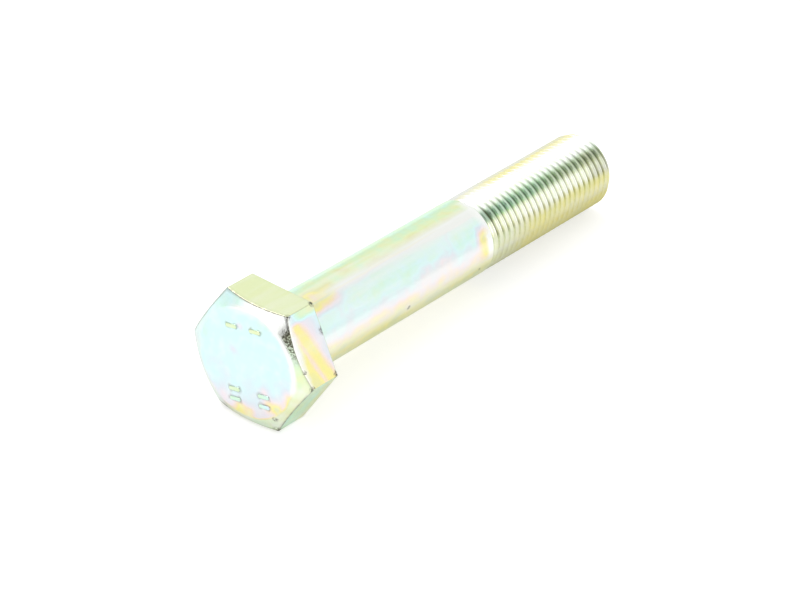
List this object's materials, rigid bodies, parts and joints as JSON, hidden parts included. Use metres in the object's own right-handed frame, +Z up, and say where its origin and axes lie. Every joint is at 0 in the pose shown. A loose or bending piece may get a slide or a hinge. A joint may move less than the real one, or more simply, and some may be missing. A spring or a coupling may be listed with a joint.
{
  "type": "hex bolt",
  "caption": "Hexagon-head steel bolt with a plain shank and a fine metric thread on its end, zinc plated, for clamping parts together.",
  "frame": {"origin": "centre of the flat circle on top of the head, so the bearing face under the head is at y = 8.5 mm", "axes": "+Y along the bolt's axis from the head to the thread's end, +Z up and square to a wrench flat, +X towards a corner of the hexagon"},
  "size_m": [0.0254, 0.0937, 0.022],
  "materials": {
    "zinc_plate": "bright zinc plate, clear passivated with pale iridescent tints"
  },
  "bodies": {
    "root": {"hex_bolt": "zinc_plate"}
  },
  "joints": []
}
